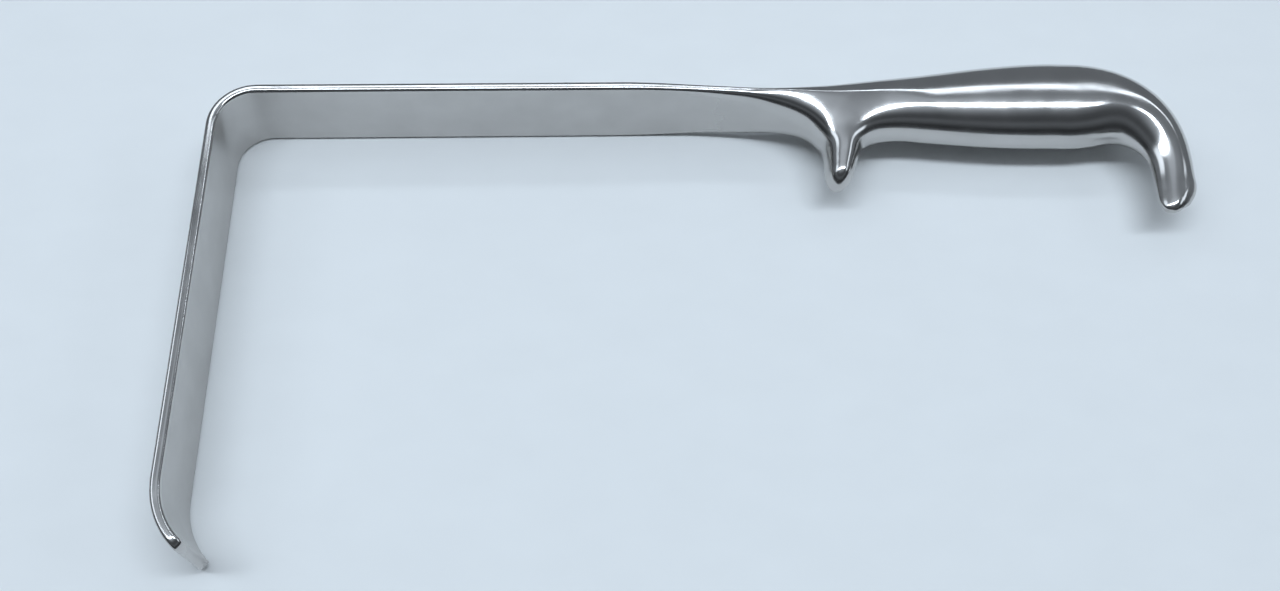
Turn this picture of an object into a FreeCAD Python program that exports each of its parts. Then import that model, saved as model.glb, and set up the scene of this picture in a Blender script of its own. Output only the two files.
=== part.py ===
import FreeCAD, Part
import math
import os

from FreeCAD import Vector

# Handheld right-angle retractor, forged in one piece, in millimetres.
# It lies on its side: X runs along the shaft to the grip, the blade and the finger
# guard point to -Y, and Z is up, across the width of the strip. Y is measured from the
# inner face of the shaft and X from the inner face of the blade, until the finished
# part is moved to the middle of its own footprint.

# Flat strip of the blade, the corner and the shaft
STRIP_WIDTH = 28.0
STRIP_THICKNESS = 3.2
RIM_RADIUS = 1.2
SHAFT_LENGTH = 127.0        # from the blade to the start of the neck
BLADE_DEPTH = 144.0         # from the shaft to the tip of the blade
BLADE_LEAN = 0.7            # degrees past the right angle
CORNER_RADIUS = 11.5        # on the inner face
LIP_RADIUS = 24.0           # on the inner face
LIP_TURN = 50.0             # degrees that the tip curls towards the grip
TIP_CORNER_RADIUS = 4.0

# Sections of the neck and the grip: the place along X from the start of the neck, the
# rise over the strip's outer face, the drop under its inner face, and the thickness
# across Z
NECK = (30.0, 0.0, 0.5, 25.0)
WRIST = (50.0, 0.6, 2.8, 22.7)
KNUCKLE = (65.0, 2.8, 5.9, 21.0)
WAIST = (84.0, 6.5, 8.9, 19.5)
FINGERS = (106.0, 9.7, 11.1, 20.7)
SWELL = (125.0, 12.0, 12.9, 22.3)
PALM = (145.0, 13.3, 13.5, 23.0)
ROUNDING_START = 12.0       # the flat strip begins to turn oval here
ROUNDING_END = 97.0
OVAL = 0.93                 # share of a half width that the corners of a section take

# Hooked tail
BEND_PLACE = 160.5          # from the start of the neck
BEND_HEIGHT = 1.1           # of the axis in plan
BEND_RADIUS = 21.6          # of the axis, at its start
BEND_GROWTH = 1.0           # of that radius through the bend
BEND_TURN = 97.0            # degrees
TAIL_WIDTH = 11.8           # in plan
TAIL_THICKNESS = 14.8
TAPER_LEAD = 12.0           # the taper to the tail starts this far before the bend
TAPER_TRAIL = 3.0           # and ends this far after it
TAIL_CUT_REACH = 14.8       # along the tail's axis from the bend to the oblique end
TAIL_CUT_ANGLE = 26.0       # degrees from square
TAIL_SPARE = 9.0            # extra length for the cut to take off
TAIL_EDGE_RADIUS = 3.2

# Finger guard
GUARD_PLACE = 67.5          # of its front face, from the start of the neck
GUARD_DEPTH = 28.0          # from the inner face of the shaft to the tip
GUARD_WIDTH = 6.2           # in plan, at the tip
GUARD_SPREAD = 11.4         # how much wider it is at the shaft
GUARD_THICKNESS = 18.0
GUARD_CROWN = 3.0           # how much lower each side is at the tip
GUARD_EDGE_RADIUS = 4.6
GUARD_TIP_RADIUS = 2.4
FRONT_FLARE = 25.5          # reach of the hollow fillet towards the blade
BACK_FLARE = 19.0           # reach of the hollow fillet towards the tail
FLARE_DEPTH = 14.0          # the fillets end this far below the shaft
GUARD_INSET = 2.0           # how far the guard starts inside the grip

JUNCTION_RADIUS = 4.0       # hollow fillet between the guard and the grip

BEND_STEPS = 4              # sections through the bend
GUARD_STEPS = 5             # sections through each half of the guard
TOUCHING = 0.01             # a point this close to a solid lies on it
MID_HEIGHT = STRIP_WIDTH / 2
QUARTER_WEIGHT = math.sqrt(0.5)


def turned(vector, degrees):
    """The vector turned about Z."""
    angle = math.radians(degrees)
    return Vector(
        vector.x * math.cos(angle) - vector.y * math.sin(angle),
        vector.x * math.sin(angle) + vector.y * math.cos(angle),
        0,
    )


def ease(start, end, place, first, last):
    """A value that goes smoothly from start to end while place goes from first to last."""
    share = min(max((place - first) / (last - first), 0.0), 1.0)
    return start + (end - start) * share * share * (3 - 2 * share)


def bend(start, heading, radius, turn):
    """The edge of an arc that turns left, and the heading after it."""
    centre = start + turned(heading, 90) * radius
    spoke = start - centre
    arc = Part.Arc(start, centre + turned(spoke, turn / 2), centre + turned(spoke, turn))
    return arc.toShape(), turned(heading, turn)


def strip_face(offset):
    """One face of the strip in plan, as edges from the neck to the tip of the blade."""
    corner_turn = 90 - BLADE_LEAN
    corner_reach = CORNER_RADIUS * math.tan(math.radians(corner_turn / 2))
    lean = math.radians(BLADE_LEAN)
    lip_fall = LIP_RADIUS * (math.sin(math.radians(LIP_TURN) - lean) + math.sin(lean))
    blade_reach = (BLADE_DEPTH - corner_reach - lip_fall) / math.cos(lean)

    neck = Vector(SHAFT_LENGTH, offset, 0)
    corner = Vector(corner_reach, offset, 0)
    shaft = Part.makeLine(neck, corner)
    inner_corner, down = bend(corner, Vector(-1, 0, 0), CORNER_RADIUS + offset, corner_turn)
    blade_start = inner_corner.Vertexes[-1].Point
    lip_start = blade_start + down * blade_reach
    blade = Part.makeLine(blade_start, lip_start)
    lip = bend(lip_start, down, LIP_RADIUS + offset, LIP_TURN)[0]
    return [shaft, inner_corner, blade, lip]


def is_across(edge):
    """Whether the edge runs through the thickness of the strip."""
    return abs(edge.Length - STRIP_THICKNESS) < 0.001


def make_strip():
    """Shaft, corner, blade and curled tip, as one bent strip with rounded rims."""
    inner = strip_face(0)
    outer = strip_face(STRIP_THICKNESS)
    tip = Part.makeLine(inner[-1].Vertexes[-1].Point, outer[-1].Vertexes[-1].Point)
    neck = Part.makeLine(outer[0].Vertexes[0].Point, inner[0].Vertexes[0].Point)
    outline = Part.Wire(inner + [tip] + outer[::-1] + [neck])
    strip = Part.Face(outline).extrude(Vector(0, 0, STRIP_WIDTH))

    tip_middle = tip.CenterOfMass
    corners = [
        edge
        for edge in strip.Edges
        if is_across(edge)
        and (Vector(edge.CenterOfMass.x, edge.CenterOfMass.y, 0) - tip_middle).Length < 0.001
    ]
    strip = strip.makeFillet(TIP_CORNER_RADIUS, corners)
    rims = [
        edge
        for edge in strip.Edges
        if abs(edge.tangentAt(edge.FirstParameter).z) < 0.999
        and abs(edge.CenterOfMass.x - SHAFT_LENGTH) > 0.001
        and not is_across(edge)
    ]
    return strip.makeFillet(RIM_RADIUS, rims)


def section(centre, across, half_width, half_height, corner_width, corner_height):
    """Start, corner and end points of the four elliptical corners of a closed section."""
    corners = []
    for sign_w, sign_h in ((1, 1), (-1, 1), (-1, -1), (1, -1)):
        corner = centre + across * (sign_w * half_width) + Vector(0, 0, sign_h * half_height)
        on_side = corner - Vector(0, 0, sign_h * corner_height)
        on_top = corner - across * (sign_w * corner_width)
        if sign_w == sign_h:
            corners.append((on_side, corner, on_top))
        else:
            corners.append((on_top, corner, on_side))
    return corners


def run(points, places, headings):
    """A smooth curve through points at the given places, with the given end headings."""
    curve = Part.BSplineCurve()
    curve.interpolate(
        Points=points,
        Parameters=places,
        InitialTangent=headings[0],
        FinalTangent=headings[1],
        Scale=False,
    )
    return curve


def skin(curves, weights):
    """The face that joins smooth curves side by side."""
    first = curves[0]
    surface = Part.BSplineSurface()
    surface.buildFromPolesMultsKnots(
        [list(row) for row in zip(*[curve.getPoles() for curve in curves])],
        first.getMultiplicities(),
        [len(curves)] * 2,
        first.getKnots(),
        [0.0, 1.0],
        False,
        False,
        first.Degree,
        len(curves) - 1,
        [weights] * first.NbPoles,
    )
    return surface.toShape()


def through_sections(sections, places, headings):
    """A solid whose sides run smoothly through sections at the given places."""
    sides = []
    for number in range(4):
        corner = [run([s[number][i] for s in sections], places, headings) for i in range(3)]
        following = run([s[(number + 1) % 4][0] for s in sections], places, headings)
        sides.append(skin(corner, [1.0, QUARTER_WEIGHT, 1.0]))
        sides.append(skin([corner[2], following], [1.0, 1.0]))
    ends = [
        Part.Face(Part.Wire([side.Surface.uIso(place).toShape() for side in sides]))
        for place in (places[0], places[-1])
    ]
    shell = Part.makeShell(sides + ends)
    shell.sewShape()
    return Part.Solid(shell)


def grip_section(place, rise, drop, thickness):
    """A section of the neck or the grip, square to X."""
    width = STRIP_THICKNESS + rise + drop
    rim_share = 2 * RIM_RADIUS / STRIP_THICKNESS
    rim_share_high = 2 * RIM_RADIUS / STRIP_WIDTH
    share = ease(rim_share, OVAL, place, ROUNDING_START, ROUNDING_END)
    share_high = ease(rim_share_high, OVAL, place, ROUNDING_START, ROUNDING_END)
    centre = Vector(SHAFT_LENGTH + place, width / 2 - drop, MID_HEIGHT)
    return section(
        centre,
        Vector(0, 1, 0),
        width / 2,
        thickness / 2,
        share * width / 2,
        share_high * thickness / 2,
    )


def tail_section(turn, reach):
    """A section of the hooked tail, after part of the bend and a straight reach."""
    place = BEND_PLACE + BEND_RADIUS * math.radians(turn) + reach
    taper_start = BEND_PLACE - TAPER_LEAD
    taper_end = BEND_PLACE + BEND_RADIUS * math.radians(BEND_TURN) + TAPER_TRAIL
    palm_rise, palm_drop, palm_thickness = PALM[1:]
    palm_width = STRIP_THICKNESS + palm_rise + palm_drop
    half_width = ease(palm_width / 2, TAIL_WIDTH / 2, place, taper_start, taper_end)
    half_height = ease(palm_thickness / 2, TAIL_THICKNESS / 2, place, taper_start, taper_end)
    pivot = Vector(SHAFT_LENGTH + BEND_PLACE, BEND_HEIGHT - BEND_RADIUS, MID_HEIGHT)
    across = turned(Vector(0, 1, 0), -turn)
    radius = BEND_RADIUS + ease(0, BEND_GROWTH, turn, 0, BEND_TURN)
    centre = pivot + across * radius + turned(across, -90) * reach
    return place, section(
        centre, across, half_width, half_height, OVAL * half_width, OVAL * half_height
    )


def make_grip():
    """Neck, grip and hooked tail, smooth through their sections, with an oblique end."""
    start = (0.0, 0.0, 0.0, STRIP_WIDTH)
    stations = [start, NECK, WRIST, KNUCKLE, WAIST, FINGERS, SWELL, PALM]
    places = [station[0] for station in stations]
    sections = [grip_section(*station) for station in stations]
    turns = [BEND_TURN * step / BEND_STEPS for step in range(BEND_STEPS + 1)]
    uncut_reach = TAIL_CUT_REACH + TAIL_SPARE
    for turn, reach in [(turn, 0) for turn in turns] + [(BEND_TURN, uncut_reach)]:
        place, outline = tail_section(turn, reach)
        places.append(place)
        sections.append(outline)
    heading = turned(Vector(1, 0, 0), -BEND_TURN)
    grip = through_sections(sections, places, (Vector(1, 0, 0), heading))

    bend_end = Vector(SHAFT_LENGTH + BEND_PLACE, BEND_HEIGHT - BEND_RADIUS, MID_HEIGHT)
    bend_end += turned(Vector(0, BEND_RADIUS + BEND_GROWTH, 0), -BEND_TURN)
    knife = Part.makeBox(4 * TAIL_WIDTH, 2 * uncut_reach, STRIP_WIDTH)
    knife.translate(Vector(-2 * TAIL_WIDTH, -2 * uncut_reach, -MID_HEIGHT))
    knife.rotate(Vector(0, 0, 0), Vector(0, 0, 1), 90 - BEND_TURN + TAIL_CUT_ANGLE)
    knife.translate(bend_end + heading * TAIL_CUT_REACH)
    grip = grip.cut(knife)
    end_face = min(grip.Faces, key=lambda face: face.CenterOfMass.y)
    return grip.makeFillet(TAIL_EDGE_RADIUS, end_face.Edges)


def guard_section(depth):
    """A section of the finger guard at a depth below the inner face of the shaft."""
    flare = max(1 - max(depth, 0) / FLARE_DEPTH, 0)
    flare = 1 - math.sqrt(1 - flare * flare)
    share = max(depth, 0) / GUARD_DEPTH
    front = -FRONT_FLARE * flare
    back = GUARD_WIDTH + GUARD_SPREAD * (1 - share) + BACK_FLARE * flare
    half_width = (back - front) / 2
    half_height = GUARD_THICKNESS / 2 - GUARD_CROWN * share**6
    centre = Vector(SHAFT_LENGTH + GUARD_PLACE + (front + back) / 2, -depth, MID_HEIGHT)
    corner = min(GUARD_EDGE_RADIUS, half_width * OVAL)
    return section(centre, Vector(-1, 0, 0), half_width, half_height, corner, corner)


def make_guard():
    """Finger guard, smooth from inside the grip to its rounded tip."""
    straight = GUARD_DEPTH - FLARE_DEPTH
    depths = [-GUARD_INSET, 0.0]
    depths += [FLARE_DEPTH * step / GUARD_STEPS for step in range(1, GUARD_STEPS + 1)]
    depths += [FLARE_DEPTH + straight * step / GUARD_STEPS for step in range(1, GUARD_STEPS + 1)]
    down = Vector(0, -1, 0)
    guard = through_sections([guard_section(d) for d in depths], depths, (down, down))
    tip = min(guard.Faces, key=lambda face: face.CenterOfMass.y)
    return guard.makeFillet(GUARD_TIP_RADIUS, tip.Edges)


def make_handle(grip, guard):
    """Grip and guard as one piece, with a hollow fillet where they meet."""
    handle = grip.fuse(guard)
    seam = []
    for edge in handle.Edges:
        middle = Part.Vertex(edge.valueAt((edge.FirstParameter + edge.LastParameter) / 2))
        if max(grip.distToShape(middle)[0], guard.distToShape(middle)[0]) < TOUCHING:
            seam.append(edge)
    return handle.makeFillet(JUNCTION_RADIUS, seam)


def main():
    os.makedirs("parts", exist_ok=True)
    handle = make_handle(make_grip(), make_guard())
    retractor = make_strip().fuse(handle).removeSplitter()
    box = retractor.optimalBoundingBox(False)
    retractor.translate(Vector(-box.Center.x, -box.Center.y, -box.ZMin))
    retractor.exportStep("parts/retractor.step")


main()
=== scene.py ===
import math

import bmesh
import bpy
from mathutils import Matrix, Vector

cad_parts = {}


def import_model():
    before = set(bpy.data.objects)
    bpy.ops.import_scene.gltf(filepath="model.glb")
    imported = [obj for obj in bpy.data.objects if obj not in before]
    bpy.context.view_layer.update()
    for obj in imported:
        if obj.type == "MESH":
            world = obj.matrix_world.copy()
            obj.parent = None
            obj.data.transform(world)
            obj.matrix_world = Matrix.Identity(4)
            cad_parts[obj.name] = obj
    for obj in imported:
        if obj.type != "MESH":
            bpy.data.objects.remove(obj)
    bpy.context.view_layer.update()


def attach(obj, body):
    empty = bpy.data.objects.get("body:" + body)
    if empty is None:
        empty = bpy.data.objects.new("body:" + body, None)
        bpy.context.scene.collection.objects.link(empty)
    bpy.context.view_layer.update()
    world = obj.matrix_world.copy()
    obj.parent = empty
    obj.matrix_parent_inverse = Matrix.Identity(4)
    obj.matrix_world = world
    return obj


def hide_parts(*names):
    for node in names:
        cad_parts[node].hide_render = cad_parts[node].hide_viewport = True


# Handheld right-angle retractor of polished stainless steel, lying on a pale table.
# Its one piece is a mesh of rounded sections along the strip, the grip and the tail, with
# the finger guard drawn out of the grip, under a Subdivision Surface modifier.
# Sizes are in millimetres. They are measured from the corner where the inner faces of the
# blade (X = 0) and the shaft (Y = 0) would meet, on the table (Z = 0).

CORNER_PLACE = (-155.743, 64.695)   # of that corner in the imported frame

# Flat strip
STRIP_WIDTH = 28.0
STRIP_THICKNESS = 3.2
RIM_RADIUS = 1.2
SHAFT_LENGTH = 127.0
BLADE_DEPTH = 144.0
BLADE_LEAN = 0.7
CORNER_RADIUS = 11.5
LIP_RADIUS = 24.0
LIP_TURN = 50.0
TIP_CORNER_RADIUS = 4.0
RIM_LIMIT = 0.8                     # share of the half thickness that its rim may take

# Neck and grip: place from the start of the neck, rise over the strip's outer face, drop
# under its inner face, thickness across Z
GRIP_SECTIONS = (
    (0.0, 0.0, 0.0, STRIP_WIDTH),
    (30.0, -0.3, 0.5, 25.0),
    (50.0, 0.2, 2.8, 22.7),
    (65.0, 2.6, 5.9, 21.0),
    (84.0, 6.4, 9.2, 19.5),
    (106.0, 9.6, 11.6, 20.7),
    (125.0, 12.1, 13.3, 22.3),
    (145.0, 13.4, 13.9, 23.0),
)
ROUNDING = (12.0, 97.0)             # where the flat strip turns into an oval
OVAL = 0.93
SATIN_FADE = (20.0, 62.0)           # where the satin of the strip turns into polish

# The top of the neck lies towards the outer face, by a share of the half width
APEX_SHIFT = 0.22
APEX_RISE = (15.0, 48.0)            # where that comes in
APEX_DROP = (52.0, 70.0)            # where it falls to the part of it that is kept
APEX_KEPT = 0.45
APEX_END = (84.0, 104.0)            # where the rest goes

# Hooked tail, by its place from the start of the neck
BEND_START = 153.5
BEND_LENGTH = 48.5                  # over which it turns, most sharply halfway
BEND_TURN = 92.5
BEND_HEIGHT = 1.2
TAIL_END = 213.6
TAIL_WIDTH = 13.4
TAPER = (150.0, 203.0)              # where it narrows
TAIL_LIFT = 1.5                     # how much higher its end is than the strip's middle
TAIL_THICKNESS = 5.5
THINNING = (156.5, 214.0)           # where it gets thinner, still doing so at its end
TAIL_SLANT = 44.0                   # of the top edge of its end
SLANT_RUN = (5.0, 17.0)             # distances from the end where the slant fades
OUTLINE_SLANT = 0.5                 # share of the slant that its outline has
TAIL_LENS = 0.5                     # 0 is an oval, 1 has its top fall straight to its sides
TAIL_SIDE_ROUND = 7.0               # reach over which its sides close in
TAIL_TOP_ROUND = 5.0                # reach over which its top falls

# Finger guard
GUARD_FRONT = 193.6                 # X of its front face
GUARD_DEPTH = 30.3
GUARD_WIDTH = 7.1                   # width at its tip, before that is rounded
GUARD_SPREAD = 11.4
GUARD_THICKNESS = 20.4
GUARD_FALL = 4.8                    # how much lower its top is at the tip than at the root
GUARD_LENS = 0.1
GUARD_LAG = 5.0                     # how far its front edge at the top trails at the root
LAG_DEPTHS = (6.0, 16.0)            # where that goes to nothing
GUARD_SIDE_ROUND = 5.0              # depth over which the sides close in at the tip
GUARD_TOP_ROUND = 5.4               # depth over which the top falls at the tip
FRONT_FLARE = 25.0
BACK_FLARE = 17.0
FLARE_DEPTH = 17.5

# Mesh: a section has SECTION_POINTS rows. On the strip they crowd at its rims, and on the
# grip they are evenly spaced. The sections crowd where the shape changes fast.
CORNER_STEPS = 4
FLAT_HOLDS = (0.07, 0.3)            # shares of the strip's face where rows lie
SECTION_POINTS = 4 * (CORNER_STEPS + len(FLAT_HOLDS) + 2)
RUN_SECTIONS = 10                   # on each straight run of the strip
SHAFT_GAP = 4.0                     # between the shaft's last section and the neck's first
CORNER_SECTIONS = 8
LIP_SECTIONS = 7
TIP_GAPS = (4.0, 2.6, 1.2, 0.6, 0.2, 0.0)
NECK_SECTIONS = 10
NECK_CROWDING = 1.3                 # power of their spacing, 1 is even
PALM_SECTIONS = 9
BEND_SECTIONS = 12
BEND_SPACING = 4.1
TAIL_GAPS = (16.5, 13.2, 10.4, 7.9, 5.8, 3.9, 2.3, 1.1, 0.35)
SMOOTH_LEVELS = 2
FIT_ROUNDS = 3

# Mesh of the guard: it leaves the underside of the grip between two places along X and two
# rows. Its loops lie at a front and a back depth at its root, then at shares of its depth.
GUARD_OPENING = (184.0, 217.0)
GUARD_COLUMNS = 6
GUARD_ROW_FIRST = SECTION_POINTS // 2 + 1
GUARD_ROW_LAST = SECTION_POINTS - 1
ROOT_LOOPS = ((8.0, 11.0), (11.0, 13.4), (14.5, 15.8))
TIP_LOOPS = (0.62, 0.7, 0.78, 0.85, 0.91, 0.955, 0.985, 0.997)
RELAXED_LOOPS = 3
RELAXING_ROUNDS = 9

# Room: brightness, where white is 1, by the sine of the elevation. Towards the camera it
# has two dark bands, and over the far side of the table it grows paler upwards.
ROOM_NEAR = (
    (0.0, 0.15),
    (0.1, 0.06),
    (0.27, 0.045),
    (0.42, 0.12),
    (0.55, 0.17),
    (0.7, 0.09),
    (0.8, 0.11),
    (0.87, 0.2),
    (1.0, 0.55),
)
ROOM_FAR = ((0.0, 0.24), (0.6, 0.25), (0.8, 0.3), (0.9, 0.4), (0.95, 0.66), (1.0, 0.66))
ROOM_BLEND = (-0.35, 0.3)           # Y of the direction where one turns into the other

# Table, in metres
TABLE_SIZE = (0.62, 0.36)
TABLE_PLACE = (0.0, -0.03, 0.0)

# Camera, from the lines of the strip in the photograph
CAMERA_PLACE = (113.3, -225.3, 348.1)
CAMERA_TURN = (25.404, -2.172, -2.002)
CAMERA_LENS = 33.72
SENSOR_WIDTH = 36.0


def to_frame(point):
    """A point in millimetres from the inner corner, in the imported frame's metres."""
    return Vector((point[0] + CORNER_PLACE[0], point[1] + CORNER_PLACE[1], point[2])) / 1000


def turned(vector, degrees):
    """The vector turned about Z."""
    return Matrix.Rotation(math.radians(degrees), 3, "Z") @ Vector(vector)


def ease(start, end, place, first, last):
    """A value that goes smoothly from start to end while place goes from first to last."""
    share = min(max((place - first) / (last - first), 0.0), 1.0)
    return start + (end - start) * share * share * (3 - 2 * share)


def through(stations, place, column):
    """A smooth value between the stations' values, on cubic curves with level ends."""
    places = [station[0] for station in stations]
    values = [station[column] for station in stations]
    slopes = [0.0]
    for k in range(1, len(places) - 1):
        before = (values[k] - values[k - 1]) / (places[k] - places[k - 1])
        after = (values[k + 1] - values[k]) / (places[k + 1] - places[k])
        share = (places[k] - places[k - 1]) / (places[k + 1] - places[k - 1])
        slopes.append(before * (1 - share) + after * share)
    slopes.append(0.0)
    k = max(i for i in range(len(places) - 1) if places[i] <= place)
    step = places[k + 1] - places[k]
    t = min((place - places[k]) / step, 1.0)
    return (
        values[k] * (1 + 2 * t) * (1 - t) ** 2
        + slopes[k] * step * t * (1 - t) ** 2
        + values[k + 1] * t * t * (3 - 2 * t)
        - slopes[k + 1] * step * t * t * (1 - t)
    )


def quarter_point(place, half_width, half_height, corner_width, corner_height, lens=0.0):
    """Width and height at a place along a section, from its top (0) to its side (1)."""
    top = half_width - corner_width
    side = half_height - corner_height
    arc = (corner_width + corner_height) * math.pi / 4
    place *= top + arc + side
    if place <= top:
        return place, half_height
    if place >= top + arc:
        return half_width, top + arc + side - place
    angle = math.radians(90) * (place - top) / arc
    fall = (1 - lens) * math.cos(angle) + lens * math.cos(angle) ** 2
    return top + corner_width * math.sin(angle), side + corner_height * fall


def crowded_places(half_width, half_height, corner_width, corner_height):
    """Places along a section of the strip that crowd at its rim."""
    top = half_width - corner_width
    side = half_height - corner_height
    arc = (corner_width + corner_height) * math.pi / 4
    places = [0.0] + [top + arc * step / CORNER_STEPS for step in range(CORNER_STEPS + 1)]
    places += [top + arc + side * hold for hold in FLAT_HOLDS] + [top + arc + side]
    return [place / (top + arc + side) for place in places]


def section(centre, across, sizes, spread=0.0, apex=0.0, lens=0.0):
    """Points round a section, from the middle of its top over the outer face and back.
    The spread goes from rows that crowd at the rim (0) to evenly spaced ones (1)."""
    crowded = crowded_places(*sizes)
    steps = len(crowded) - 1
    quarter = [
        quarter_point(place + (step / steps - place) * spread, *sizes, lens)
        for step, place in enumerate(crowded)
    ]
    half = quarter + [(w, -h) for w, h in quarter[-2::-1]]
    outer = [(apex * sizes[0] + w * (1 - apex), h) for w, h in half]
    inner = [(apex * sizes[0] - w * (1 + apex), h) for w, h in half[-2:0:-1]]
    middle = centre + Vector((0, 0, STRIP_WIDTH / 2))
    return [middle + across * w + Vector((0, 0, h)) for w, h in outer + inner]


def strip_section(centre, across, end_gap=100.0):
    """A section of the strip, smaller within the rounded corners and rim of its end."""
    rim = max(RIM_RADIUS - end_gap, 0.0)
    corner = max(TIP_CORNER_RADIUS - end_gap, 0.0)
    rim_inset = RIM_RADIUS - math.sqrt(RIM_RADIUS**2 - rim**2)
    corner_inset = TIP_CORNER_RADIUS - math.sqrt(TIP_CORNER_RADIUS**2 - corner**2)
    half_width = STRIP_THICKNESS / 2 - rim_inset
    half_height = STRIP_WIDTH / 2 - corner_inset - rim_inset
    corner_width = min(RIM_RADIUS, RIM_LIMIT * half_width)
    return section(centre, across, (half_width, half_height, corner_width, RIM_RADIUS))


def graded(start, end):
    """Places on a straight run from its start up to its end, the end left out.
    They lie closer together near both, so that the smooth surface keeps its ends."""
    return [ease(start, end, step, 0, RUN_SECTIONS) for step in range(RUN_SECTIONS)]


def strip_sections():
    """Sections from the tip of the blade to the end of the shaft."""
    half = STRIP_THICKNESS / 2
    corner_turn = 90 - BLADE_LEAN
    lean = math.radians(BLADE_LEAN)
    corner_reach = CORNER_RADIUS * math.tan(math.radians(corner_turn / 2))
    lip_fall = LIP_RADIUS * (math.sin(math.radians(LIP_TURN) - lean) + math.sin(lean))
    blade_reach = (BLADE_DEPTH - corner_reach - lip_fall) / math.cos(lean)
    lip_length = (LIP_RADIUS + half) * math.radians(LIP_TURN)

    sections = []
    for place in graded(SHAFT_LENGTH - SHAFT_GAP, corner_reach):
        sections.append(strip_section(Vector((place, half, 0)), Vector((0, 1, 0))))
    pivot = Vector((corner_reach, -CORNER_RADIUS, 0))
    for step in range(CORNER_SECTIONS + 1):
        across = turned((0, 1, 0), corner_turn * step / CORNER_SECTIONS)
        sections.append(strip_section(pivot + across * (CORNER_RADIUS + half), across))
    down = turned(across, 90)
    blade_start = pivot + across * (CORNER_RADIUS + half)
    for reach in graded(0.0, blade_reach)[1:]:
        sections.append(strip_section(blade_start + down * reach, across))
    pivot = blade_start + down * blade_reach - across * (LIP_RADIUS + half)
    outward = across
    lip_gaps = [lip_length * step / LIP_SECTIONS for step in range(LIP_SECTIONS, 1, -1)]
    for gap in (*lip_gaps, *TIP_GAPS):
        turn = LIP_TURN * (1 - gap / lip_length)
        across = turned(outward, turn)
        sections.append(strip_section(pivot + across * (LIP_RADIUS + half), across, gap))
    return sections[::-1]


def grip_section(place):
    """A section of the neck or the grip."""
    rise, drop, thickness = (through(GRIP_SECTIONS, place, column) for column in (1, 2, 3))
    half_width = (STRIP_THICKNESS + rise + drop) / 2
    half_height = thickness / 2
    share_w = ease(2 * RIM_RADIUS / STRIP_THICKNESS, OVAL, place, *ROUNDING)
    share_h = ease(2 * RIM_RADIUS / STRIP_WIDTH, 1.0, place, *ROUNDING)
    centre = Vector((SHAFT_LENGTH + place, half_width - drop, 0))
    spread = ease(0.0, 1.0, place, *ROUNDING)
    sizes = (half_width, half_height, half_width * share_w, half_height * share_h)
    apex = ease(0, APEX_SHIFT, place, *APEX_RISE) * ease(1, APEX_KEPT, place, *APEX_DROP)
    apex *= ease(1, 0, place, *APEX_END)
    return section(centre, Vector((0, 1, 0)), sizes, spread, apex=apex)


def tail_frame(place):
    """Centre of the tail's section at a place, and the direction across it."""
    steps = 200
    step = (place - BEND_START) / steps
    centre = Vector((SHAFT_LENGTH + BEND_START, BEND_HEIGHT, 0))
    last = BEND_START + BEND_LENGTH
    for number in range(steps):
        turn = ease(0, BEND_TURN, BEND_START + (number + 0.5) * step, BEND_START, last)
        centre += turned((1, 0, 0), -turn) * step
    centre.z = ease(0, TAIL_LIFT, place, BEND_START, TAIL_END)
    return centre, turned((0, 1, 0), -ease(0, BEND_TURN, place, BEND_START, last))


def tail_section(place):
    """A section of the end of the palm, the bend and the hooked tail. Near the end it is
    slanted, its top more than its outline."""
    rise, drop, thickness = GRIP_SECTIONS[-1][1:]
    half_width = ease(STRIP_THICKNESS + rise + drop, TAIL_WIDTH, place, *TAPER) / 2
    half_height = ease(thickness, TAIL_THICKNESS, place, *THINNING) / 2
    gap = TAIL_END - place
    half_width *= math.sqrt(1 - max(1 - gap / TAIL_SIDE_ROUND, 0.0) ** 2)
    half_height *= math.sqrt(1 - max(1 - gap / TAIL_TOP_ROUND, 0.0) ** 2)
    sizes = (half_width, half_height, half_width * OVAL, half_height)
    lens = ease(0.0, TAIL_LENS, place, *TAPER)
    centre, across = tail_frame(place)
    points = section(centre, across, sizes, 1.0, lens=lens)

    slant = math.tan(math.radians(ease(TAIL_SLANT, 0, gap, *SLANT_RUN)))
    back = turned(across, 90)
    for point in points:
        offset = point - centre
        height = abs(offset.z - STRIP_WIDTH / 2) / (TAIL_THICKNESS / 2)
        share = OUTLINE_SLANT + (1 - OUTLINE_SLANT) * height
        point += back * (offset.dot(across) * slant * share)
    return points


def grip_sections():
    """Sections from the start of the neck to the oblique end of the tail."""
    first, last = (x - SHAFT_LENGTH for x in GUARD_OPENING)
    places = [
        first * (step / NECK_SECTIONS) ** NECK_CROWDING for step in range(NECK_SECTIONS)
    ]
    places += [first + (last - first) * step / GUARD_COLUMNS for step in range(GUARD_COLUMNS)]
    palm = GRIP_SECTIONS[-1][0]
    places += [
        last + (palm - last) * step / PALM_SECTIONS for step in range(PALM_SECTIONS + 1)
    ]
    sections = [grip_section(place) for place in places]
    for step in range(1, BEND_SECTIONS + 1):
        sections.append(tail_section(palm + BEND_SPACING * step))
    return sections + [tail_section(TAIL_END - gap) for gap in TAIL_GAPS]


def guard_front(depth):
    """X of the guard's front face at a depth below the inner face of the shaft."""
    flare = max(1 - depth / FLARE_DEPTH, 0)
    return GUARD_FRONT - FRONT_FLARE * (1 - math.sqrt(1 - flare * flare))


def guard_back(depth):
    """X of the guard's back face at a depth below the inner face of the shaft."""
    flare = max(1 - depth / FLARE_DEPTH, 0)
    width = GUARD_WIDTH + GUARD_SPREAD * (1 - depth / GUARD_DEPTH)
    return GUARD_FRONT + width + BACK_FLARE * (1 - math.sqrt(1 - flare * flare))


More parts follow.
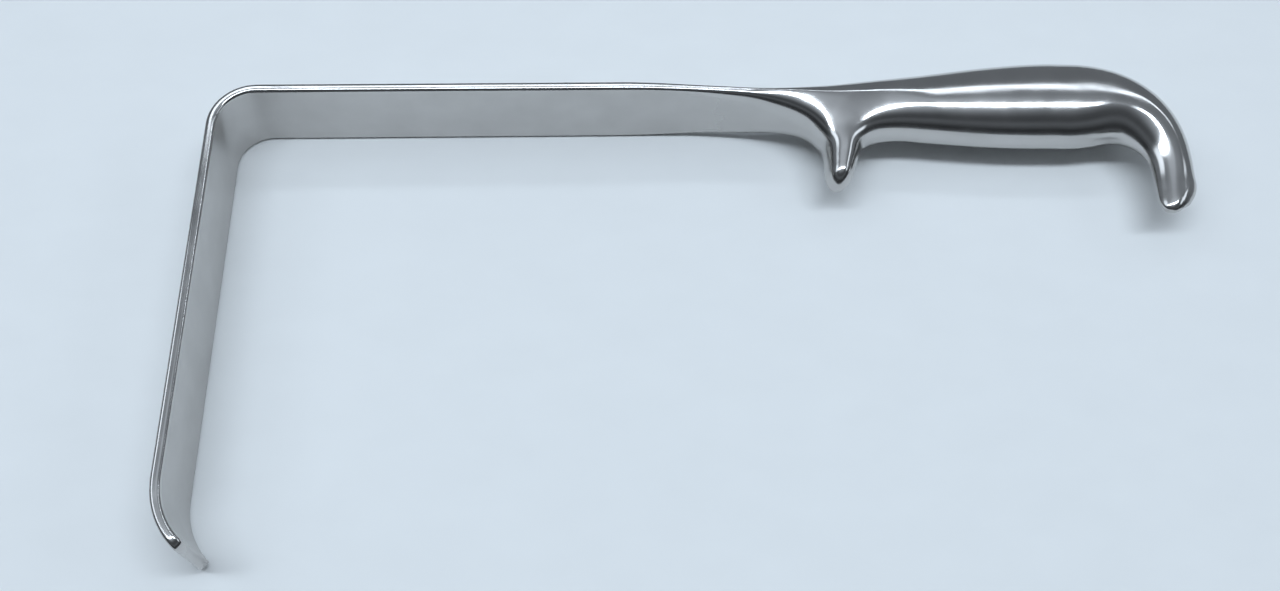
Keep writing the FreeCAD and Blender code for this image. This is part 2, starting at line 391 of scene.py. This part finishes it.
def guard_loop(front_depth, back_depth):
    """A loop of the guard: its top from front to back, its back face, bottom and front."""
    depth = (front_depth + back_depth) / 2
    side = max(1 - (GUARD_DEPTH - depth) / GUARD_SIDE_ROUND, 0.0)
    top = max(1 - (GUARD_DEPTH - depth) / GUARD_TOP_ROUND, 0.0)
    front = Vector((guard_front(front_depth), -front_depth, 0))
    back = Vector((guard_back(back_depth), -back_depth, 0))
    centre = (front + back) / 2
    half = (back - front) / 2 * math.sqrt(1 - side**2)
    half_height = GUARD_THICKNESS / 2 - GUARD_FALL * depth / GUARD_DEPTH
    half_height *= math.sqrt(1 - top**2)
    sizes = (half.length, half_height, half.length * OVAL, half_height, GUARD_LENS)
    steps = GUARD_COLUMNS // 2 + (GUARD_ROW_LAST - GUARD_ROW_FIRST) // 2
    quarter = [quarter_point(step / steps, *sizes) for step in range(steps + 1)]
    outer = quarter + [(w, -h) for w, h in quarter[-2::-1]]
    outline = outer + [(-w, h) for w, h in outer[-2:0:-1]]
    start = len(outline) - GUARD_COLUMNS // 2
    outline = outline[start:] + outline[:start]
    middle_height = STRIP_WIDTH / 2
    heading = half.normalized()
    lag = ease(GUARD_LAG, 0.0, depth, *LAG_DEPTHS)
    points = []
    for w, h in outline:
        trail = lag * (h / half_height) ** 2 * (1 - w / half.length) / 2
        points.append(centre + heading * w + Vector((0, trail, middle_height + h)))
    return points


def guard_loops():
    """Loops of the guard, from its root in the grip to its tip."""
    loops = [guard_loop(*depths) for depths in ROOT_LOOPS]
    for share in TIP_LOOPS:
        loops.append(guard_loop(share * GUARD_DEPTH, share * GUARD_DEPTH))
    return loops


def add_cap(cage, ends):
    """Closes a section with rungs between its outer and its inner half."""
    half = SECTION_POINTS // 2
    cage.faces.new((ends[0], ends[1], ends[-1]))
    for step in range(1, half - 1):
        cage.faces.new((ends[step], ends[step + 1], ends[-step - 1], ends[-step]))
    cage.faces.new((ends[half - 1], ends[half], ends[half + 1]))


def close_guard(cage, loop):
    """Closes the tip of the guard with a lattice of faces between the sides of its loop."""
    across = GUARD_ROW_LAST - GUARD_ROW_FIRST
    top = loop[: GUARD_COLUMNS + 1]
    back = loop[GUARD_COLUMNS : GUARD_COLUMNS + across + 1]
    bottom = loop[GUARD_COLUMNS + across : 2 * GUARD_COLUMNS + across + 1][::-1]
    front = [loop[0]] + loop[: 2 * GUARD_COLUMNS + across - 1 : -1]
    lattice = [top]
    for row in range(1, across):
        inside = []
        for column in range(1, GUARD_COLUMNS):
            place = top[column].co.lerp(bottom[column].co, row / across)
            along = front[row].co.lerp(back[row].co, column / GUARD_COLUMNS)
            inside.append(cage.verts.new((along.x, place.y, front[row].co.z)))
        lattice.append([front[row]] + inside + [back[row]])
    lattice.append(bottom)
    for upper, lower in zip(lattice[:-1], lattice[1:]):
        for column in range(GUARD_COLUMNS):
            cage.faces.new(
                (upper[column], upper[column + 1], lower[column + 1], lower[column])
            )


def add_guard(cage, grid, first):
    """Draws the guard out of the opening in the grip. The loop next to the opening lies
    halfway between it and the guard's first loop."""
    rows = range(GUARD_ROW_FIRST, GUARD_ROW_LAST + 1)
    top = [grid[first + step][GUARD_ROW_LAST] for step in range(GUARD_COLUMNS + 1)]
    bottom = [grid[first + step][GUARD_ROW_FIRST] for step in range(GUARD_COLUMNS + 1)]
    back = [grid[first + GUARD_COLUMNS][row] for row in rows][::-1]
    front = [grid[first][row] for row in rows]
    above = top + back[1:] + bottom[-2::-1] + front[1:-1]
    loops = guard_loops()
    middle = [
        (to_frame(point) + vertex.co) / 2 for point, vertex in zip(loops[0], above)
    ]
    for places in [middle] + [[to_frame(point) for point in points] for points in loops]:
        below = [cage.verts.new(place) for place in places]
        for step in range(len(above)):
            cage.faces.new((above[step - 1], above[step], below[step], below[step - 1]))
        above = below
    close_guard(cage, above)


def relax_root(cage, grid, first):
    """Evens out the cage where the guard leaves the grip, and drops the vertices that the
    opening left without an edge."""
    per_loop = 2 * (GUARD_COLUMNS + GUARD_ROW_LAST - GUARD_ROW_FIRST)
    cage.verts.ensure_lookup_table()
    start = len(grid) * SECTION_POINTS
    root = [cage.verts[start + number] for number in range(RELAXED_LOOPS * per_loop)]
    for ring in grid[first - 1 : first + GUARD_COLUMNS + 2]:
        root += ring[GUARD_ROW_FIRST - 1 :]
    root = [vertex for vertex in root if vertex.link_edges]
    for _ in range(RELAXING_ROUNDS):
        bmesh.ops.smooth_vert(
            cage, verts=root, factor=0.5, use_axis_x=True, use_axis_y=True, use_axis_z=True
        )
    loose = [vertex for vertex in cage.verts if not vertex.link_edges]
    bmesh.ops.delete(cage, geom=loose, context="VERTS")


def build_cage():
    """The control mesh of the whole retractor, with the share of satin at each vertex."""
    cage = bmesh.new()
    satin = cage.verts.layers.float.new("satin")
    strip = strip_sections()
    grip = grip_sections()
    sections = strip + grip
    grid = [[cage.verts.new(to_frame(point)) for point in points] for points in sections]
    half = SECTION_POINTS // 2
    for points, ring in zip(sections, grid):
        share = ease(1.0, 0.0, points[0].x - SHAFT_LENGTH, *SATIN_FADE)
        for row, vertex in enumerate(ring):
            on_face = CORNER_STEPS < row % half < half - CORNER_STEPS
            vertex[satin] = share if on_face else 0.0

    first = len(strip) + NECK_SECTIONS
    for number, (ring, following) in enumerate(zip(grid[:-1], grid[1:])):
        at_guard = first <= number < first + GUARD_COLUMNS
        for row in range(SECTION_POINTS):
            if at_guard and GUARD_ROW_FIRST <= row < GUARD_ROW_LAST:
                continue
            after = (row + 1) % SECTION_POINTS
            cage.faces.new((ring[row], following[row], following[after], ring[after]))
    add_cap(cage, grid[0])
    add_cap(cage, grid[-1])
    add_guard(cage, grid, first)
    relax_root(cage, grid, first)
    bmesh.ops.recalc_face_normals(cage, faces=cage.faces)
    return cage


def smoothed(cage_object):
    """The mesh that the object's modifiers give."""
    view = bpy.context.evaluated_depsgraph_get()
    return bpy.data.meshes.new_from_object(cage_object.evaluated_get(view), depsgraph=view)


def make_retractor():
    """The retractor, with the cage moved until the smooth surface passes through it."""
    cage = build_cage()
    mesh = bpy.data.meshes.new("retractor_body")
    cage.to_mesh(mesh)
    cage.free()
    retractor = bpy.data.objects.new("retractor_body", mesh)
    bpy.context.scene.collection.objects.link(retractor)
    modifier = retractor.modifiers.new("smooth", "SUBSURF")
    modifier.levels = modifier.render_levels = SMOOTH_LEVELS
    modifier.quality = 4
    wanted = [vertex.co.copy() for vertex in mesh.vertices]
    for _ in range(FIT_ROUNDS):
        reached = smoothed(retractor)
        for vertex, goal in zip(mesh.vertices, wanted):
            vertex.co += goal - reached.vertices[vertex.index].co
        bpy.data.meshes.remove(reached)
    finished = smoothed(retractor)
    retractor.modifiers.clear()
    retractor.data = finished
    finished.name = "retractor_body"
    finished.shade_smooth()
    return retractor


def colour(hex_code):
    """Linear colour of an sRGB hex value."""
    parts = [int(hex_code[i : i + 2], 16) / 255 for i in (1, 3, 5)]
    return [c / 12.92 if c < 0.04045 else ((c + 0.055) / 1.055) ** 2.4 for c in parts] + [1.0]


def add_node(tree, kind, settings=(), inputs=()):
    """A node with its settings, and its inputs as values or as sockets to link from."""
    node = tree.nodes.new(kind)
    for name, value in dict(settings).items():
        setattr(node, name, value)
    for name, value in dict(inputs).items():
        if isinstance(value, bpy.types.NodeSocket):
            tree.links.new(value, node.inputs[name])
        else:
            node.inputs[name].default_value = value
    return node


def grain(tree, size, stretch=(1, 1, 1), detail=2.0):
    """Noise from 0 to 1 whose features measure the size in millimetres, times the stretch."""
    place = add_node(tree, "ShaderNodeTexCoord")
    scaled = add_node(
        tree,
        "ShaderNodeMapping",
        inputs={
            "Vector": place.outputs["Object"],
            "Scale": [1000 / (size * share) for share in stretch],
        },
    )
    noise = add_node(
        tree,
        "ShaderNodeTexNoise",
        inputs={"Vector": scaled.outputs["Vector"], "Scale": 1.0, "Detail": detail},
    )
    return noise.outputs["Fac"]


def ranged(tree, value, low, high):
    """The value, from 0 to 1, put between low and high."""
    node = add_node(
        tree, "ShaderNodeMapRange", inputs={"Value": value, "To Min": low, "To Max": high}
    )
    return node.outputs["Result"]


def steel_material():
    """Stainless steel, forged, ground and polished; the strip's faces have a satin finish."""
    material = bpy.data.materials.new("stainless steel, polished and satin")
    material.use_nodes = True
    tree = material.node_tree
    tree.nodes.clear()
    satin = add_node(tree, "ShaderNodeAttribute", {"attribute_name": "satin"}).outputs["Fac"]

    # Forged grip and rims, polished on a soft wheel: long clear highlights whose edges are
    # a little soft. The satin faces give back the table without any outline.
    clouds = grain(tree, 9.0)
    roughness = add_node(
        tree,
        "ShaderNodeMix",
        {"data_type": "FLOAT"},
        {0: satin, 2: ranged(tree, clouds, 0.04, 0.26), 3: ranged(tree, clouds, 0.26, 0.38)},
    )
    # Faint stains of cleaning, which make the satin faces slightly uneven in tone.
    tone = add_node(
        tree,
        "ShaderNodeMix",
        {"data_type": "RGBA"},
        {
            0: ranged(tree, grain(tree, 14.0, detail=5.0), -0.3, 1.3),
            6: colour("#BBB9B7"),
            7: colour("#C9C7C5"),
        },
    )
    # Fine scratches of the wheel, across the grip: they break up the highlights' edges.
    # They are 0.3 mm apart, coarser than real ones, so that they show.
    scratches = grain(tree, 0.3, stretch=(1, 5, 5), detail=3.0)
    bump = add_node(
        tree, "ShaderNodeBump", inputs={"Height": scratches, "Strength": 0.25, "Distance": 6e-6}
    )
    shader = add_node(
        tree,
        "ShaderNodeBsdfPrincipled",
        inputs={
            "Base Color": tone.outputs[2],
            "Metallic": 1.0,
            "Roughness": roughness.outputs[0],
            "Normal": bump.outputs["Normal"],
        },
    )
    output = add_node(tree, "ShaderNodeOutputMaterial")
    tree.links.new(shader.outputs["BSDF"], output.inputs["Surface"])
    return material


def table_material():
    """Matt laminate, pressed: pale and even, with a faint cloudiness and no clear shine."""
    material = bpy.data.materials.new("matt laminate")
    material.use_nodes = True
    tree = material.node_tree
    tree.nodes.clear()
    tone = add_node(
        tree,
        "ShaderNodeMix",
        {"data_type": "RGBA"},
        {0: grain(tree, 40.0), 6: colour("#E4E6E6"), 7: colour("#E9EBEB")},
    )
    shader = add_node(
        tree,
        "ShaderNodeBsdfPrincipled",
        inputs={
            "Base Color": tone.outputs[2],
            "Roughness": ranged(tree, grain(tree, 2.0), 0.7, 0.85),
        },
    )
    output = add_node(tree, "ShaderNodeOutputMaterial")
    tree.links.new(shader.outputs["BSDF"], output.inputs["Surface"])
    return material


def make_table():
    """A plain table top, a little wider than the view."""
    bpy.ops.mesh.primitive_plane_add(size=1.0, location=TABLE_PLACE)
    table = bpy.context.object
    table.scale = (*TABLE_SIZE, 1)
    table.name = "table"
    table.data.materials.append(table_material())


def add_lamp(name, place, size, level, heading=(1, 0, 0)):
    """A soft box that faces the retractor, its first side along the heading.
    Its level is its brightness, where white is 1."""
    light = bpy.data.lights.new(name, "AREA")
    light.shape = "RECTANGLE"
    light.size, light.size_y = size
    light.energy = level * math.pi * size[0] * size[1]
    light.color = colour("#E5F1FD")[:3]
    lamp = bpy.data.objects.new(name, light)
    back = Vector(place).normalized()
    along = (Vector(heading) - back * back.dot(Vector(heading))).normalized()
    across = back.cross(along)
    lamp.matrix_world = Matrix((along, across, back)).transposed().to_4x4()
    lamp.location = place
    bpy.context.scene.collection.objects.link(lamp)


def profile(tree, height, stops):
    """The brightness that the stops give along the height."""
    ramp = add_node(tree, "ShaderNodeValToRGB", inputs={"Fac": height})
    elements = ramp.color_ramp.elements
    for number, (place, level) in enumerate(stops):
        element = elements[number] if number < 2 else elements.new(place)
        element.position = place
        element.color = (level, level, level, 1.0)
    return ramp.outputs["Color"]


def room():
    """A dim room round the table."""
    world = bpy.data.worlds.new("dim room")
    world.use_nodes = True
    tree = world.node_tree
    direction = add_node(tree, "ShaderNodeTexCoord")
    axes = add_node(tree, "ShaderNodeSeparateXYZ", inputs={0: direction.outputs["Generated"]})
    side = add_node(
        tree,
        "ShaderNodeMapRange",
        {"interpolation_type": "SMOOTHSTEP"},
        {"Value": axes.outputs["Y"], "From Min": ROOM_BLEND[0], "From Max": ROOM_BLEND[1]},
    )
    level = add_node(
        tree,
        "ShaderNodeMix",
        {"data_type": "RGBA"},
        {
            0: side.outputs["Result"],
            6: profile(tree, axes.outputs["Z"], ROOM_NEAR),
            7: profile(tree, axes.outputs["Z"], ROOM_FAR),
        },
    )
    tint = add_node(
        tree,
        "ShaderNodeMix",
        {"data_type": "RGBA", "blend_type": "MULTIPLY"},
        {0: 1.0, 6: level.outputs[2], 7: colour("#E3EFFC")},
    )
    tree.links.new(tint.outputs[2], tree.nodes["Background"].inputs["Color"])
    bpy.context.scene.world = world


def make_light():
    """A long overhead lamp, two narrow ones behind the table, a broad weak one on either
    side, and the room. Places and sizes are in metres."""
    add_lamp("overhead", (-0.05, 0.0, 1.6), (1.95, 0.19), 16.0)
    add_lamp("behind left", (-0.1, 1.19, 1.6), (1.4, 0.15), 4.2)
    add_lamp("behind right", (1.25, 1.15, 1.6), (1.5, 0.09), 5.2, heading=(1, -0.1, 0))
    add_lamp("left", (-1.5, 0.35, 1.5), (0.75, 1.2), 1.7, heading=(0, 0, 1))
    add_lamp("right", (2.0, 0.0, 1.3), (0.5, 1.2), 1.6, heading=(0, 0, 1))
    room()


def make_camera():
    """The camera at the photograph's place."""
    data = bpy.data.cameras.new("camera")
    data.sensor_fit = "HORIZONTAL"
    data.sensor_width = SENSOR_WIDTH
    data.lens = CAMERA_LENS
    camera = bpy.data.objects.new("camera", data)
    camera.location = to_frame(CAMERA_PLACE)
    camera.rotation_euler = [math.radians(angle) for angle in CAMERA_TURN]
    bpy.context.scene.collection.objects.link(camera)
    bpy.context.scene.camera = camera


def main():
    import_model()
    make_camera()
    retractor = make_retractor()
    retractor.data.materials.clear()
    retractor.data.materials.append(steel_material())
    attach(retractor, "root")
    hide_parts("retractor")
    make_table()
    make_light()
    bpy.context.scene.view_settings.view_transform = "Standard"


main()
